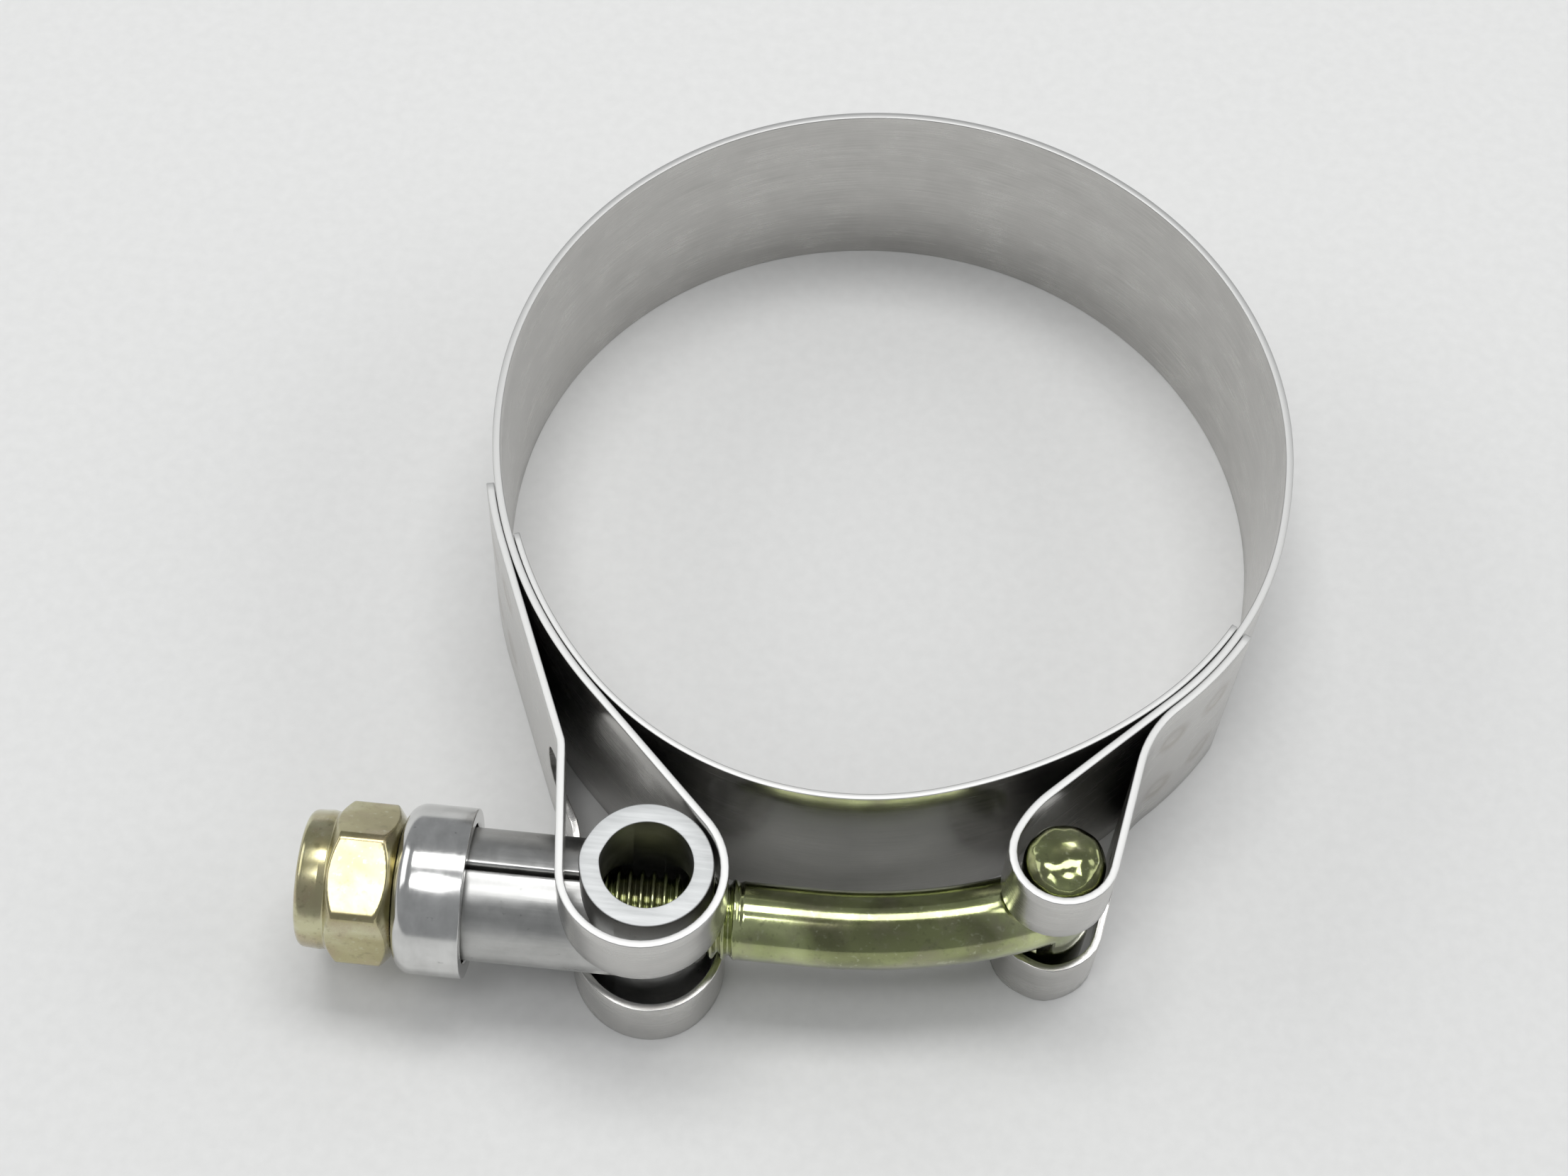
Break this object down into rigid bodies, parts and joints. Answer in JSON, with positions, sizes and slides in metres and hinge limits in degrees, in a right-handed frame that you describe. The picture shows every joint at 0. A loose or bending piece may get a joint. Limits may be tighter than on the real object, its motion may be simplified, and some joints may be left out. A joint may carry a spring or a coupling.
{
  "type": "t-bolt hose clamp",
  "caption": "Round hose clamp: a looped steel band with an inner liner, drawn tight by a curved T-bolt through a tubular trunnion, with a cap and a lock nut.",
  "frame": {"origin": "on the hose axis, level with the lower edge of the band", "axes": "+Z along the hose axis, +X along the straight part of the bolt from the nut to the T-head, bolt on the -Y side"},
  "size_m": [0.0749, 0.081, 0.0191],
  "materials": {
    "band_steel": "bright rolled stainless steel strip",
    "liner_steel": "bright rolled stainless steel strip",
    "trunnion_steel": "tumbled stainless steel",
    "bolt_zinc": "yellow zinc plate",
    "cap_steel": "drawn stainless steel",
    "nut_zinc": "yellow zinc plate",
    "insert_nylon": "natural nylon"
  },
  "bodies": {
    "ring": {"band": "band_steel", "liner": "liner_steel"},
    "trunnion": {"trunnion": "trunnion_steel"},
    "bolt": {"t_bolt": "bolt_zinc"},
    "cap": {"cap": "cap_steel"},
    "nut": {"nut": "nut_zinc", "nut_insert": "insert_nylon"}
  },
  "joints": [
    {"name": "band_close", "type": "hinge", "parent": "ring", "child": "trunnion", "pos_m": [0.011, 0.04763, 0.00953], "axis": [0, 0, 1], "range_deg": [0, 6.07], "deforming": ["band", "liner"]},
    {"name": "bolt_swivel", "type": "hinge", "parent": "ring", "child": "bolt", "pos_m": [0.0155, -0.03725, 0.00953], "axis": [0, 0, 1], "range_deg": [0, 6.07]},
    {"name": "cap_slide", "type": "slide", "parent": "bolt", "child": "cap", "axis": [1, 0, 0], "range_m": [0, 0.009]},
    {"name": "nut_turn", "type": "hinge", "parent": "cap", "child": "nut", "pos_m": [-0.0385, -0.0412, 0.00953], "axis": [1, 0, 0], "range_deg": [0, 3568]}
  ],
  "couplings": [
    {"joint": "cap_slide", "follows": "nut_turn", "m_per_rad": 0.00014438},
    {"joint": "band_close", "follows": "nut_turn", "ratio": 0.0016985},
    {"joint": "bolt_swivel", "follows": "nut_turn", "ratio": 0.0016985}
  ]
}
